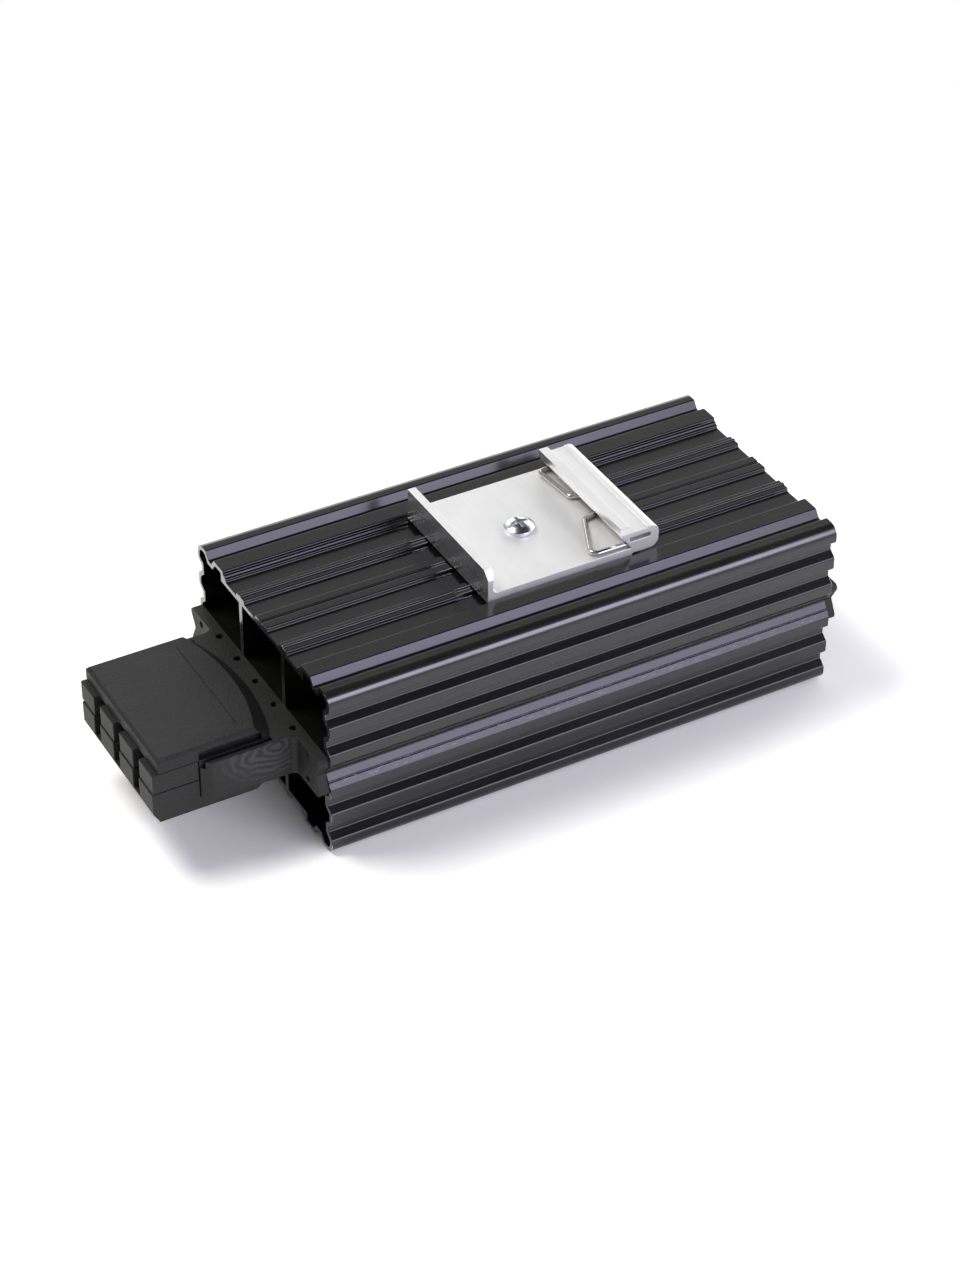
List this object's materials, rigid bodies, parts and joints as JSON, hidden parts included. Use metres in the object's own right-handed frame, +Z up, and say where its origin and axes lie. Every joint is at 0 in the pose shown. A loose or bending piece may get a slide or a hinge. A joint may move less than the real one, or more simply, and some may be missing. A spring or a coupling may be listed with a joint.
{
  "type": "enclosure heater",
  "caption": "Corrugated hollow extrusion heater for a switch cabinet, with a clamped ceramic element, a terminal head on one end and a rail clip on its back.",
  "frame": {"origin": "middle of the footprint, on the plane of the lower outer lands", "axes": "+X along the extrusion from the terminal head to the rear cover, +Y across it, +Z up to the rail clip"},
  "size_m": [0.1808, 0.07, 0.0553],
  "materials": {
    "black_anodised": "black anodised, satin gloss",
    "dark_plastic": "fine moulded grain",
    "bright_aluminium": "bare, fine drawn lines",
    "spring_steel": "bright drawn wire",
    "zinc_steel": "bright zinc plate",
    "heating_ceramic": "unglazed ceramic",
    "frame_plastic": "moulded",
    "electrode_sheet": "rolled sheet",
    "amber_film": "smooth film",
    "contact_brass": "stamped sheet"
  },
  "bodies": {
    "root": {"heater_profile": "black_anodised", "front_cover": "dark_plastic", "terminal_base": "dark_plastic", "terminal_blocks": "dark_plastic", "terminal_lid": "dark_plastic", "rear_cover": "dark_plastic", "rail_clip": "bright_aluminium", "clip_spring": "spring_steel", "clip_screw": "zinc_steel", "clip_nut": "zinc_steel", "ceramic_tiles": "heating_ceramic", "tile_frame": "frame_plastic", "upper_electrode": "electrode_sheet", "lower_electrode": "electrode_sheet", "insulating_sleeve": "amber_film", "contact_cages": "contact_brass", "clamp_springs": "spring_steel", "earth_strip": "contact_brass"}
  },
  "joints": []
}
